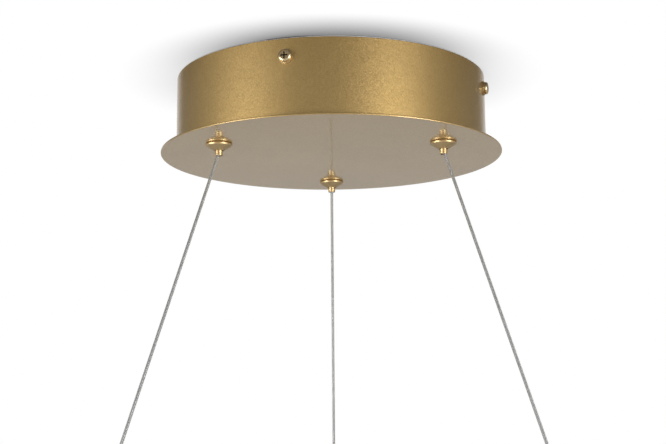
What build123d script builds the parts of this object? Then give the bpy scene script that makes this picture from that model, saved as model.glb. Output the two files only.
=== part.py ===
"""LED ring chandelier: a ceiling canopy, three cable grippers, three taut cables and a light ring.

Millimetres, +Z up. The origin is the middle of the bracket's face that lies on the ceiling, and
the lamp hangs below it. Azimuths are in degrees from +X, anticlockwise seen from above.
"""

import math
import os

from build123d import *

os.makedirs("parts", exist_ok=True)

# ---------------------------------------------------------------- driving dimensions

# canopy
ceiling_gap = 0.3
drum_height = 48.0
drum_wall = 1.0
drum_edge_round = 0.4
flange_width = 9.5
plate_overhang = 10.0
plate_thickness = 1.0
plate_edge_round = 0.3
stud_radius = 2.0
stud_length = 7.0
stud_azimuths = (30.0, 150.0, 270.0)
stud_inset = 5.0
small_nut_across_flats = 7.0
small_nut_height = 3.2

# ceiling bracket
bracket_thickness = 2.0
bracket_radius = 70.0
cable_entry_radius = 7.0
cable_entry_reach = 11.5
slot_spacing = 90.0
slot_length = 20.0
slot_width = 5.5
arm_width = 24.0
tab_length = 20.0
tab_gap = 1.0
tab_azimuths = (75.0, 165.0, 255.0, 345.0)

# side screws that hold the drum on the bracket's tabs
side_screw_drop = 11.3
side_screw_radius = 2.0
side_screw_length = 9.0
side_head_radius = 3.9
side_head_height = 2.4
washer_radius = 4.5
washer_thickness = 0.8
recess_length = 4.2
recess_width = 0.8
recess_depth = 1.3

# cable grippers
gland_circle_radius = 80.0
gland_azimuths = (90.0, 210.0, 330.0)
cone_radius = 8.2
cone_rim_height = 1.6
cone_height = 4.4
cone_tip_radius = 3.5
cone_edge_round = 0.7
stem_radius = 5.0
stem_height = 15.2
throat_play = 0.45
throat_length = 3.8
chamber_radius = 3.2
wedge_level = 2.0
wedge_height = 5.5
wedge_slope = 7.0
cap_length = 3.0
cap_radius = 4.05
cap_hole_radius = 1.2
gripper_nut_across_flats = 14.0
gripper_nut_height = 3.0
nozzle_radius = 2.4
nozzle_bore_radius = 2.0
nozzle_drop = 7.7
nozzle_edge_round = 0.3
collar_radius = 3.0
collar_height = 1.2
cage_radius = 2.9
cage_top = 7.0
ball_radius = 1.15
ball_count = 3
ball_level = 4.0
spring_wire_radius = 0.25
spring_radius = 2.4
spring_turns = 4

# suspension cables
cable_radius = 1.0
exit_offset = 0.8
cable_drop = 615.0
cable_inside = 2.0
cable_split = 0.3
tail_level = 18.0
tail_reach = 12.0
tail_headings = (-35.0, -25.0, -155.0)
splice_radius = 2.5
splice_length = 14.0
lead_guide_length = 11.0
ferrule_radius = 2.4

# light ring
ring_radius = 300.0
ring_width = 24.0
ring_height = 32.0
ring_wall = 1.5
ring_top_wall = 2.0
web_drop = 18.0
web_thickness = 1.5
seam_azimuth = 150.0
seam_gap = 0.2
joiner_angle = 8.0
joiner_screw_angles = (-3.2, -1.5, 1.5, 3.2)
joiner_screw_radius = 1.5
joiner_screw_length = 6.0
joiner_head_radius = 2.6
joiner_head_height = 1.4
strip_width = 10.0
strip_thickness = 0.3
strip_end_gap = 3.0
chip_count = 96
chip_length = 3.5
chip_width = 2.8
chip_height = 0.7
diffuser_thickness = 2.0
diffuser_leg = 8.0
diffuser_leg_wall = 1.2

# cable anchors on the ring
anchor_radius = 6.0
anchor_height = 12.5
anchor_edge_round = 2.0
anchor_wall = 3.5
anchor_chamber_radius = 4.2
anchor_hole_radius = 1.5
base_flange = 1.5
base_boss_height = 2.0
anchor_stud_radius = 3.0
anchor_stud_length = 11.0
bush_flange_radius = 7.0
bush_flange = 1.0
bush_wall = 1.0
insulator_thickness = 1.0
tag_radius = 5.5
tag_thickness = 0.6
tag_tongue_length = 10.0
tag_tongue_width = 2.6
tag_crimp_length = 3.0
anchor_nut_across_flats = 10.0
anchor_nut_height = 5.0
feed_hole_offset = 22.0
feed_lead_radius = 0.7
feed_hole_play = 0.6

# light driver in the canopy
driver_width = 40.0
driver_length = 88.0
driver_height = 22.0
driver_wall = 1.6
lid_lip = 1.6
lid_lip_wall = 1.2
ear_length = 8.0
ear_width = 16.0
ear_thickness = 2.0
driver_screw_radius = 1.5
driver_head_radius = 2.8
driver_head_height = 2.0
board_thickness = 1.6
board_post_height = 1.4
board_post_radius = 2.0
transformer_size = (22.0, 20.0, 13.0)
capacitor_radius = 5.0
capacitor_height = 12.0
output_lead_radius = 0.9
mains_lead_radius = 1.1
lead_spacing = 6.0
mains_lead_level = 10.0
high_lead_level = 11.0
lead_play = 0.2
lead_bite = 1.0

# mains terminal block
block_x = -42.0
block_y = 34.0
block_length = 28.0
block_width = 16.0
block_height = 13.0
pole_pitch = 9.0
entry_depth = 5.0
insert_radius = 2.6
insert_wall = 0.8
terminal_screw_radius = 1.6
terminal_screw_length = 3.0
terminal_screw_sink = 0.5
screw_slot_width = 0.6
screw_slot_depth = 0.8
terminal_screw_spacing = 8.0
block_screw_radius = 1.5
block_head_radius = 2.6
block_head_height = 1.6
earth_x = -31.0
earth_y = 57.0
earth_screw_radius = 2.0
earth_head_radius = 3.6
earth_head_height = 2.2
earth_tag_radius = 4.4
earth_tag_thickness = 0.8
earth_tongue_length = 8.0
earth_tongue_width = 3.4

# clearances
hole_play = 0.2
thread_play = 0.05
slide_play = 0.1
stop_gap = 0.3
grip_play = 0.05
crimp_play = 0.02
seat_gap = 0.02
nut_room = 2.5
ferrule_play = 0.6

# ---------------------------------------------------------------- levels and places

flange_inner_radius = gland_circle_radius + gripper_nut_across_flats / 2 + nut_room
drum_inner_radius = flange_inner_radius + flange_width
drum_radius = drum_inner_radius + drum_wall
plate_radius = drum_radius + plate_overhang
drum_top = -ceiling_gap
drum_bottom = drum_top - drum_height
plate_top = drum_bottom
plate_bottom = plate_top - plate_thickness
stud_circle_radius = drum_inner_radius - stud_inset
tab_radius = drum_inner_radius - tab_gap
exit_radius = gland_circle_radius + exit_offset
exit_level = plate_bottom - nozzle_drop
ring_mid_radius = ring_radius - ring_width / 2
ring_inner_radius = ring_radius - ring_width
channel_width = ring_width - 2 * ring_wall
ferrule_level = exit_level - cable_drop
cable_lean = math.atan2(ring_mid_radius - exit_radius, cable_drop)
chamber_top = bush_flange + base_flange + anchor_height - anchor_wall
ferrule_height = chamber_top - ferrule_radius - ferrule_play
ring_top = ferrule_level - ferrule_height
ring_bottom = ring_top - ring_height
web_top = ring_top - web_drop
web_bottom = web_top - web_thickness
bracket_bottom = -bracket_thickness
driver_bottom = bracket_bottom - driver_height
lid_top = driver_bottom + driver_wall
throat_radius = nozzle_radius + throat_play
shoulder_level = throat_length - cone_height
wedge_top_radius = chamber_radius + wedge_height * math.tan(math.radians(wedge_slope))
cap_bottom = stem_height - cap_length
grip_radius = cable_radius + grip_play + ball_radius
pole_places = [block_x - pole_pitch, block_x, block_x + pole_pitch]
block_screw_x = block_x + pole_pitch / 2


def polar(radius, azimuth, height):
    """A point given by its distance from the lamp's axis, its azimuth and its height."""
    angle = math.radians(azimuth)
    return (radius * math.cos(angle), radius * math.sin(angle), height)


def upright_plane(radius, azimuth, height):
    """A level plane whose local X points away from the lamp's axis."""
    return Plane(origin=polar(radius, azimuth, height), x_dir=polar(1, azimuth, 0), z_dir=(0, 0, 1))


def wall_plane(radius, azimuth, height):
    """A plane that faces away from the lamp's axis, as on the drum's side."""
    return Plane(
        origin=polar(radius, azimuth, height), x_dir=polar(1, azimuth + 90, 0), z_dir=polar(1, azimuth, 0)
    )


def section_plane(azimuth):
    """An upright plane through the lamp's axis: local X points outwards and local Y points up."""
    return Plane(origin=(0, 0, 0), x_dir=polar(1, azimuth, 0), z_dir=polar(1, azimuth - 90, 0))


def cable_plane(azimuth, distance):
    """A plane square to a cable, at a distance down from where it leaves its nozzle."""
    down = polar(math.sin(cable_lean), azimuth, -math.cos(cable_lean))
    start = Vector(*polar(exit_radius, azimuth, exit_level))
    return Plane(origin=start + Vector(*down) * distance, x_dir=polar(1, azimuth + 90, 0), z_dir=down)


def save(piece, name):
    """Label a finished piece and write it to its file."""
    piece.part.label = name
    export_step(piece.part, f"parts/{name}.step")


def bend_radii(route):
    """The radius of each bend of a lead, as large as its two runs allow."""
    points = [Vector(*point) for point in route]
    radii = []
    for before, corner, after in zip(points, points[1:], points[2:]):
        turn = math.radians((corner - before).get_angle(after - corner))
        shorter_run = min((corner - before).length, (after - corner).length)
        radii.append(0.45 * shorter_run / math.tan(turn / 2))
    return radii


def report_tube(name, tube, path, radius, radii):
    """Print a lead's bend radii, and its volume against its section times its length."""
    length = sum(edge.length for edge in path.edges())
    ratio = tube.part.volume / (math.pi * radius**2 * length)
    print(f"{name}: bends {[round(bend, 1) for bend in radii]} mm, volume ratio {ratio:.4f}")


# ---------------------------------------------------------------- ceiling bracket

with BuildPart() as ceiling_bracket:
    with BuildSketch(Plane.XY.offset(bracket_bottom)):
        Circle(bracket_radius)
        for azimuth in tab_azimuths:
            with Locations(Location((0, 0, 0), (0, 0, azimuth))):
                with Locations((tab_radius / 2, 0)):
                    Rectangle(tab_radius, arm_width)
        with Locations((block_x, block_y - block_width / 2 - cable_entry_reach)):
            Circle(cable_entry_radius, mode=Mode.SUBTRACT)
        with GridLocations(slot_spacing, 0, 2, 1):
            SlotOverall(slot_length, slot_width, mode=Mode.SUBTRACT)
    extrude(amount=bracket_thickness)
    for azimuth in tab_azimuths:
        with BuildSketch(upright_plane(tab_radius - bracket_thickness / 2, azimuth, -tab_length)):
            Rectangle(bracket_thickness, arm_width)
        extrude(amount=tab_length)
        with BuildSketch(wall_plane(tab_radius, azimuth, -side_screw_drop)):
            Circle(side_screw_radius + thread_play)
        extrude(amount=-bracket_thickness, mode=Mode.SUBTRACT)
    with BuildSketch(Plane.XY.offset(bracket_bottom)):
        with GridLocations(0, driver_length + ear_length, 1, 2):
            Circle(driver_screw_radius + thread_play)
        with Locations((block_screw_x, block_y)):
            Circle(block_screw_radius + thread_play)
        with Locations((earth_x, earth_y)):
            Circle(earth_screw_radius + thread_play)
    extrude(amount=bracket_thickness, mode=Mode.SUBTRACT)
save(ceiling_bracket, "ceiling_bracket")

# ---------------------------------------------------------------- canopy drum and bottom plate

with BuildPart() as canopy_drum:
    with BuildSketch(Plane.XZ):
        with Locations((drum_inner_radius, drum_bottom)):
            Rectangle(drum_wall, drum_height, align=(Align.MIN, Align.MIN))
        with Locations((flange_inner_radius, drum_bottom)):
            Rectangle(flange_width + drum_wall, drum_wall, align=(Align.MIN, Align.MIN))
    revolve(axis=Axis.Z)
    fillet(canopy_drum.faces().sort_by(Axis.Z)[-1].edges().sort_by(SortBy.RADIUS)[-1], drum_edge_round)
    for azimuth in tab_azimuths:
        with BuildSketch(wall_plane(drum_inner_radius - drum_wall, azimuth, -side_screw_drop)):
            Circle(side_screw_radius + hole_play)
        extrude(amount=3 * drum_wall, mode=Mode.SUBTRACT)
    for azimuth in stud_azimuths:
        with BuildSketch(upright_plane(stud_circle_radius, azimuth, drum_bottom)):
            Circle(stud_radius + hole_play)
        extrude(amount=drum_wall, mode=Mode.SUBTRACT)
save(canopy_drum, "canopy_drum")

with BuildPart() as bottom_plate:
    with BuildSketch(Plane.XY.offset(plate_bottom)):
        Circle(plate_radius)
    extrude(amount=plate_thickness)
    fillet(bottom_plate.edges(), plate_edge_round)
    for azimuth in gland_azimuths:
        with BuildSketch(upright_plane(gland_circle_radius, azimuth, plate_bottom)):
            Circle(stem_radius + hole_play)
        extrude(amount=plate_thickness, mode=Mode.SUBTRACT)
    for azimuth in stud_azimuths:
        with BuildSketch(upright_plane(stud_circle_radius, azimuth, plate_top)):
            Circle(stud_radius)
        extrude(amount=stud_length)
save(bottom_plate, "bottom_plate")

with BuildPart() as plate_nuts:
    for azimuth in stud_azimuths:
        with BuildSketch(upright_plane(stud_circle_radius, azimuth, drum_bottom + drum_wall)):
            RegularPolygon(small_nut_across_flats / 2, 6, major_radius=False)
            Circle(stud_radius + thread_play, mode=Mode.SUBTRACT)
        extrude(amount=small_nut_height)
save(plate_nuts, "plate_nuts")

# ---------------------------------------------------------------- side screws and washers

with BuildPart() as side_washers:
    for azimuth in tab_azimuths:
        with BuildSketch(wall_plane(drum_radius + seat_gap, azimuth, -side_screw_drop)):
            Circle(washer_radius)
            Circle(side_screw_radius + hole_play, mode=Mode.SUBTRACT)
        extrude(amount=washer_thickness)
save(side_washers, "side_washers")

head_seat = drum_radius + seat_gap + washer_thickness
with BuildPart() as side_screw:
    with BuildSketch():
        Circle(side_head_radius)
    extrude(amount=side_head_height)
    fillet(side_screw.edges().group_by(Axis.Z)[-1], 0.6 * side_head_height)
    with BuildSketch():
        Circle(side_screw_radius)
    extrude(amount=-side_screw_length)
    with BuildSketch(Plane.XY.offset(side_head_height)):
        Rectangle(recess_length, recess_width)
        Rectangle(recess_width, recess_length)
    extrude(amount=-recess_depth, taper=12, mode=Mode.SUBTRACT)

with BuildPart() as side_screws:
    for azimuth in tab_azimuths:
        with Locations(wall_plane(head_seat, azimuth, -side_screw_drop)):
            add(side_screw.part)
save(side_screws, "side_screws")

# ---------------------------------------------------------------- cable grippers

# One gripper is drawn about its own axis, with height 0 on the plate's underside.
with BuildPart() as gripper_body:
    with BuildSketch(Plane.XZ):
        with BuildLine():
            Polyline(
                (throat_radius, -cone_height),
                (cone_tip_radius, -cone_height),
                (cone_radius, -cone_rim_height),
                (cone_radius, 0),
                (stem_radius, 0),
                (stem_radius, stem_height),
                (cap_radius + thread_play, stem_height),
                (cap_radius + thread_play, cap_bottom),
                (wedge_top_radius, cap_bottom),
                (wedge_top_radius, wedge_level + wedge_height),
                (chamber_radius, wedge_level),
                (chamber_radius, shoulder_level),
                (throat_radius, shoulder_level),
                close=True,
            )
        make_face()
    revolve(axis=Axis.Z)
    cone_edges = gripper_body.edges().filter_by(GeomType.CIRCLE)
    fillet([edge for edge in cone_edges if abs(edge.radius - cone_radius) < seat_gap], cone_edge_round)

with BuildPart() as gripper_cap:
    with BuildSketch(Plane.XY.offset(cap_bottom)):
        Circle(cap_radius)
        Circle(cap_hole_radius, mode=Mode.SUBTRACT)
    extrude(amount=cap_length)

with BuildPart() as gripper_nut:
    with BuildSketch(Plane.XY.offset(plate_thickness)):
        RegularPolygon(gripper_nut_across_flats / 2, 6, major_radius=False)
        Circle(stem_radius + thread_play, mode=Mode.SUBTRACT)
    extrude(amount=gripper_nut_height)

# The plunger is the nozzle that shows below the cone, with its stop collar and its ball cage.
collar_bottom = shoulder_level + stop_gap
with BuildPart() as plunger:
    with BuildSketch(Plane.XZ):
        with BuildLine():
            Polyline(
                (nozzle_bore_radius, -nozzle_drop),
                (nozzle_radius, -nozzle_drop),
                (nozzle_radius, collar_bottom),
                (collar_radius, collar_bottom),
                (collar_radius, collar_bottom + collar_height),
                (cage_radius, collar_bottom + collar_height),
                (cage_radius, cage_top),
                (nozzle_bore_radius, cage_top),
                close=True,
            )
        make_face()
    revolve(axis=Axis.Z)
    fillet(plunger.edges().group_by(Axis.Z)[0].sort_by(SortBy.RADIUS)[-1], nozzle_edge_round)
    for turn in range(ball_count):
        with BuildSketch(wall_plane(0, turn * 360 / ball_count, ball_level)):
            Circle(ball_radius + grip_play)
        extrude(amount=cage_radius + slide_play, mode=Mode.SUBTRACT)

with BuildPart() as gripper_balls:
    with Locations((0, 0, ball_level)):
        with PolarLocations(grip_radius, ball_count):
            Sphere(ball_radius)

# The spring stands on the cage and pushes the plunger down from the cap.
spring_seat = cage_top + seat_gap
spring_height = cap_bottom - seat_gap - spring_seat - 2 * spring_wire_radius
with BuildPart() as plunger_spring:
    with BuildLine() as spring_path:
        Helix(spring_height / spring_turns, spring_height, spring_radius)
    with BuildSketch(Plane(origin=spring_path.line @ 0, z_dir=spring_path.line % 0)):
        Circle(spring_wire_radius)
    sweep(is_frenet=True)
spring_gap = spring_height / spring_turns - 2 * spring_wire_radius
print(f"plunger spring: {spring_turns} turns, least gap between turns {spring_gap:.2f} mm")


def gland_place(azimuth, height=0.0):
    """Where a gripper stands: its axis at its azimuth, its height 0 on the plate's underside."""
    return Location(upright_plane(gland_circle_radius, azimuth, plate_bottom + height))


for number, azimuth in enumerate(gland_azimuths, start=1):
    with BuildPart() as placed_body:
        with Locations(gland_place(azimuth)):
            add(gripper_body.part)
    save(placed_body, f"gripper_body_{number}")

    with BuildPart() as placed_plunger:
        with Locations(gland_place(azimuth)):
            add(plunger.part)
    save(placed_plunger, f"plunger_{number}")

    with BuildPart() as placed_balls:
        with Locations(gland_place(azimuth)):
            add(gripper_balls.part)
    save(placed_balls, f"gripper_balls_{number}")

    with BuildPart() as placed_spring:
        with Locations(gland_place(azimuth, spring_seat + spring_wire_radius)):
            add(plunger_spring.part)
    save(placed_spring, f"plunger_spring_{number}")

with BuildPart() as gripper_caps:
    for azimuth in gland_azimuths:
        with Locations(gland_place(azimuth)):
            add(gripper_cap.part)
save(gripper_caps, "gripper_caps")

with BuildPart() as gripper_nuts:
    for azimuth in gland_azimuths:
        with Locations(gland_place(azimuth)):
            add(gripper_nut.part)
save(gripper_nuts, "gripper_nuts")

# ---------------------------------------------------------------- suspension cables

cable_length = cable_drop / math.cos(cable_lean)
for number, azimuth in enumerate(gland_azimuths, start=1):
    with BuildPart() as cable:
        with BuildSketch(cable_plane(azimuth, -cable_inside)):
            Circle(cable_radius)
        extrude(amount=cable_inside + cable_length + ferrule_radius)
    save(cable, f"cable_{number}")

    with BuildPart() as ferrule:
        with Locations(cable_plane(azimuth, cable_length)):
            Sphere(ferrule_radius)
            Cylinder(cable_radius + crimp_play, 2 * ferrule_radius, mode=Mode.SUBTRACT)
    save(ferrule, f"ferrule_{number}")

# The tails are the same cables above the grip. They stand in the gripper and turn over to a splice.
tail_bottom = exit_level + cable_inside + cable_radius * math.sin(cable_lean) + cable_split
splice_starts = []
splice_ends = []
lead_guides = []
for number, (azimuth, heading) in enumerate(zip(gland_azimuths, tail_headings), start=1):
    foot = Vector(*polar(gland_circle_radius, azimuth, tail_bottom))
    turn = Vector(foot.X, foot.Y, -tail_level)
    along = Vector(*polar(1, heading, 0))
    route = [foot, turn, turn + along * tail_reach]
    splice_starts.append(turn + along * tail_reach)
    splice_ends.append(turn + along * (tail_reach + splice_length))
    lead_guides.append(turn + along * (tail_reach + splice_length + lead_guide_length))
    radii = bend_radii(route)
    with BuildPart() as cable_tail:
        with BuildLine() as tail_path:
            FilletPolyline(*route, radius=radii)
        with BuildSketch(Plane(origin=tail_path.line @ 0, z_dir=tail_path.line % 0)):
            Circle(cable_radius)
        sweep()
    report_tube(f"cable_tail_{number}", cable_tail, tail_path, cable_radius, radii)
    save(cable_tail, f"cable_tail_{number}")

with BuildPart() as cable_splices:
    for start, end in zip(splice_starts, splice_ends):
        with BuildSketch(Plane(origin=start, z_dir=end - start)):
            Circle(splice_radius)
        extrude(amount=splice_length)
save(cable_splices, "cable_splices")

# ---------------------------------------------------------------- light driver

with BuildPart() as driver_case:
    with BuildSketch(Plane.XY.offset(lid_top)):
        RectangleRounded(driver_width, driver_length, 2 * driver_wall)
    extrude(amount=bracket_bottom - lid_top)
    with BuildSketch(Plane.XY.offset(lid_top)):
        RectangleRounded(driver_width - 2 * driver_wall, driver_length - 2 * driver_wall, driver_wall)
    extrude(amount=bracket_bottom - driver_wall - lid_top, mode=Mode.SUBTRACT)
    with BuildSketch(Plane.XY.offset(bracket_bottom)):
        with GridLocations(0, driver_length + ear_length, 1, 2):
            Rectangle(ear_width, ear_length)
            Circle(driver_screw_radius + hole_play, mode=Mode.SUBTRACT)
    extrude(amount=-ear_thickness)
    with BuildSketch(Plane.XZ.offset(driver_length / 2)):
        with Locations((-lead_spacing, -tail_level), (lead_spacing, -tail_level), (0, -high_lead_level)):
            Circle(output_lead_radius + lead_play)
    extrude(amount=-driver_wall, mode=Mode.SUBTRACT)
    with BuildSketch(Plane.XZ.offset(-driver_length / 2)):
        with Locations((-lead_spacing, -mains_lead_level), (lead_spacing, -mains_lead_level)):
            Circle(mains_lead_radius + lead_play)
    extrude(amount=driver_wall, mode=Mode.SUBTRACT)
save(driver_case, "driver_case")

lip_width = driver_width - 2 * driver_wall - 2 * slide_play
lip_length = driver_length - 2 * driver_wall - 2 * slide_play
board_width = lip_width - 2 * lid_lip_wall - 2 * slide_play
board_length = lip_length - 2 * lid_lip_wall - 2 * slide_play
with BuildPart() as driver_lid:
    with BuildSketch(Plane.XY.offset(driver_bottom)):
        RectangleRounded(driver_width, driver_length, 2 * driver_wall)
    extrude(amount=driver_wall)
    with BuildSketch(Plane.XY.offset(lid_top)):
        RectangleRounded(lip_width, lip_length, driver_wall)
        Rectangle(lip_width - 2 * lid_lip_wall, lip_length - 2 * lid_lip_wall, mode=Mode.SUBTRACT)
    extrude(amount=lid_lip)
    with BuildSketch(Plane.XY.offset(lid_top)):
        with GridLocations(board_width - 4 * board_post_radius, board_length - 4 * board_post_radius, 2, 2):
            Circle(board_post_radius)
    extrude(amount=board_post_height)
save(driver_lid, "driver_lid")

board_bottom = lid_top + board_post_height
board_top = board_bottom + board_thickness
with BuildPart() as driver_board:
    with BuildSketch(Plane.XY.offset(board_bottom)):
        Rectangle(board_width, board_length)
    extrude(amount=board_thickness)
save(driver_board, "driver_board")

with BuildPart() as driver_components:
    with Locations((0, 0, board_top)):
        Box(*transformer_size, align=(Align.CENTER, Align.CENTER, Align.MIN))
    with BuildSketch(Plane.XY.offset(board_top)):
        with GridLocations(3 * capacitor_radius, 0.6 * driver_length, 2, 2):
            Circle(capacitor_radius)
    extrude(amount=capacitor_height)
save(driver_components, "driver_components")

with BuildPart() as driver_screws:
    with BuildSketch(Plane.XY.offset(bracket_bottom - ear_thickness)):
        with GridLocations(0, driver_length + ear_length, 1, 2):
            Circle(driver_head_radius)
    extrude(amount=-driver_head_height)
    with BuildSketch(Plane.XY.offset(bracket_bottom - ear_thickness)):
        with GridLocations(0, driver_length + ear_length, 1, 2):
            Circle(driver_screw_radius)
    extrude(amount=ear_thickness + bracket_thickness - seat_gap)
save(driver_screws, "driver_screws")

# ---------------------------------------------------------------- mains terminal block and earth

block_bottom = bracket_bottom - block_height
block_face = block_y + block_width / 2
with BuildPart() as terminal_block:
    with BuildSketch(Plane.XY.offset(bracket_bottom)):
        with Locations((block_x, block_y)):
            RectangleRounded(block_length, block_width, 1)
        with Locations((block_screw_x, block_y)):
            Circle(block_screw_radius + thread_play, mode=Mode.SUBTRACT)
    extrude(amount=-block_height)
    for pole_x in pole_places:
        with BuildSketch(Plane.XZ.offset(-block_face)):
            with Locations((pole_x, -mains_lead_level)):
                Circle(insert_radius + seat_gap)
        extrude(amount=block_width, mode=Mode.SUBTRACT)
    with BuildSketch(Plane.XY.offset(block_bottom)):
        with Locations((block_x, block_y)):
            with GridLocations(pole_pitch, terminal_screw_spacing, 3, 2):
                Circle(terminal_screw_radius + thread_play)
    extrude(amount=-mains_lead_level - block_bottom, mode=Mode.SUBTRACT)
save(terminal_block, "terminal_block")

with BuildPart() as terminal_inserts:
    for pole_x in pole_places:
        with BuildSketch(Plane.XZ.offset(-block_face + insert_wall)):
            with Locations((pole_x, -mains_lead_level)):
                Circle(insert_radius)
                Circle(insert_radius - insert_wall, mode=Mode.SUBTRACT)
        extrude(amount=block_width - 2 * insert_wall)
    with BuildSketch(Plane.XY.offset(block_bottom)):
        with Locations((block_x, block_y)):
            with GridLocations(pole_pitch, terminal_screw_spacing, 3, 2):
                Circle(terminal_screw_radius + thread_play)
    extrude(amount=-mains_lead_level - block_bottom, mode=Mode.SUBTRACT)
save(terminal_inserts, "terminal_inserts")

with BuildPart() as terminal_screws:
    with BuildSketch(Plane.XY.offset(block_bottom + terminal_screw_sink)):
        with Locations((block_x, block_y)):
            with GridLocations(pole_pitch, terminal_screw_spacing, 3, 2):
                Circle(terminal_screw_radius)
                Rectangle(2 * terminal_screw_radius, screw_slot_width, mode=Mode.SUBTRACT)
    extrude(amount=screw_slot_depth)
    with BuildSketch(Plane.XY.offset(block_bottom + terminal_screw_sink + screw_slot_depth)):
        with Locations((block_x, block_y)):
            with GridLocations(pole_pitch, terminal_screw_spacing, 3, 2):
                Circle(terminal_screw_radius)
    extrude(amount=terminal_screw_length - screw_slot_depth)
save(terminal_screws, "terminal_screws")

with BuildPart() as block_screw:
    with BuildSketch(Plane.XY.offset(block_bottom)):
        with Locations((block_screw_x, block_y)):
            Circle(block_head_radius)
    extrude(amount=-block_head_height)
    with BuildSketch(Plane.XY.offset(block_bottom)):
        with Locations((block_screw_x, block_y)):
            Circle(block_screw_radius)
    extrude(amount=block_height + bracket_thickness - seat_gap)
save(block_screw, "block_screw")

earth_tag_bottom = bracket_bottom - earth_tag_thickness
with BuildPart() as earth_screw:
    with BuildSketch(Plane.XY.offset(earth_tag_bottom)):
        with Locations((earth_x, earth_y)):
            Circle(earth_head_radius)
    extrude(amount=-earth_head_height)
    with BuildSketch(Plane.XY.offset(earth_tag_bottom)):
        with Locations((earth_x, earth_y)):
            Circle(earth_screw_radius)
    extrude(amount=earth_tag_thickness + bracket_thickness - seat_gap)
save(earth_screw, "earth_screw")

# ---------------------------------------------------------------- leads in the canopy

driver_front = -driver_length / 2
driver_back = driver_length / 2
driver_side = driver_width / 2
lead_end = block_face - entry_depth


def sweep_lead(name, route, radius):
    """A lead of round section along a route of straight runs and tangent bends."""
    radii = bend_radii(route)
    with BuildPart() as lead:
        with BuildLine() as path:
            FilletPolyline(*route, radius=radii)
        with BuildSketch(Plane(origin=path.line @ 0, z_dir=path.line % 0)):
            Circle(radius)
        sweep()
    report_tube(name, lead, path, radius, radii)
    return lead


mains_routes = {
    "live_lead": [
        (-lead_spacing, driver_back - lead_bite, -mains_lead_level),
        (-lead_spacing, driver_back + 9, -mains_lead_level),
        (-13, driver_back + 16, -mains_lead_level),
        (-24, driver_back + 17.5, -mains_lead_level),
        (-36, driver_back + 15, -mains_lead_level),
        (block_x, block_face + 9, -mains_lead_level),
        (block_x, lead_end, -mains_lead_level),
    ],
    "neutral_lead": [
        (lead_spacing, driver_back - lead_bite, -mains_lead_level),
        (lead_spacing, driver_back + 11, -mains_lead_level),
        (-1, driver_back + 21, -mains_lead_level),
        (-14, driver_back + 26, -mains_lead_level),
        (-30, driver_back + 26, -mains_lead_level),
        (-44, driver_back + 20.5, -mains_lead_level),
        (block_x - pole_pitch, block_face + 11, -mains_lead_level),
        (block_x - pole_pitch, lead_end, -mains_lead_level),
    ],
}
for name, route in mains_routes.items():
    save(sweep_lead(name, route, mains_lead_radius), name)

# The three output leads run from the splices of the cable tails to the driver's front end.
output_routes = [
    [
        splice_ends[0],
        lead_guides[0],
        (driver_side + 14, driver_back + 4, -16.5),
        (driver_side + 13.5, driver_back - 12, -14),
        (driver_side + 9, 14, -12),
        (driver_side + 8, -2, -high_lead_level),
        (driver_side + 8, -18, -high_lead_level),
        (driver_side + 7, driver_front + 11, -high_lead_level),
        (driver_side + 2, driver_front - 4, -high_lead_level),
        (15.5, driver_front - 14, -high_lead_level),
        (7, driver_front - 17.5, -high_lead_level),
        (0.8, driver_front - 12.5, -high_lead_level),
        (0, driver_front - 6, -high_lead_level),
        (0, driver_front + lead_bite, -high_lead_level),
    ],
    [
        splice_ends[1],
        lead_guides[1],
        (-22, driver_front - 16.5, -tail_level),
        (-11, driver_front - 16, -tail_level),
        (-lead_spacing, driver_front - 8.5, -tail_level),
        (-lead_spacing, driver_front + lead_bite, -tail_level),
    ],
    [
        splice_ends[2],
        lead_guides[2],
        (22, driver_front - 16.5, -tail_level),
        (11, driver_front - 16, -tail_level),
        (lead_spacing, driver_front - 8.5, -tail_level),
        (lead_spacing, driver_front + lead_bite, -tail_level),
    ],
]
for number, route in enumerate(output_routes, start=1):
    name = f"output_lead_{number}"
    save(sweep_lead(name, route, output_lead_radius), name)

# The earth lead ends in a ring tag under the earth screw.
earth_wire_level = earth_tag_bottom - mains_lead_radius + earth_tag_thickness / 2
earth_pole = pole_places[2]
earth_route = [
    (earth_pole, lead_end, -mains_lead_level),
    (earth_pole, 42, -mains_lead_level + 0.5),
    (-32.3, 46.5, -6.5),
    (-31.3, earth_y - earth_tag_radius - seat_gap, earth_wire_level),
]
earth_wire = sweep_lead("earth_lead", earth_route, mains_lead_radius)
with BuildPart() as earth_lead:
    add(earth_wire.part)
    with BuildSketch(Plane.XY.offset(earth_tag_bottom)):
        with Locations((earth_x, earth_y)):
            Circle(earth_tag_radius)
            Rectangle(earth_tongue_width, earth_tongue_length, align=(Align.CENTER, Align.MAX))
            Circle(earth_screw_radius + hole_play, mode=Mode.SUBTRACT)
    extrude(amount=earth_tag_thickness)
save(earth_lead, "earth_lead")

# ---------------------------------------------------------------- light ring

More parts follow.
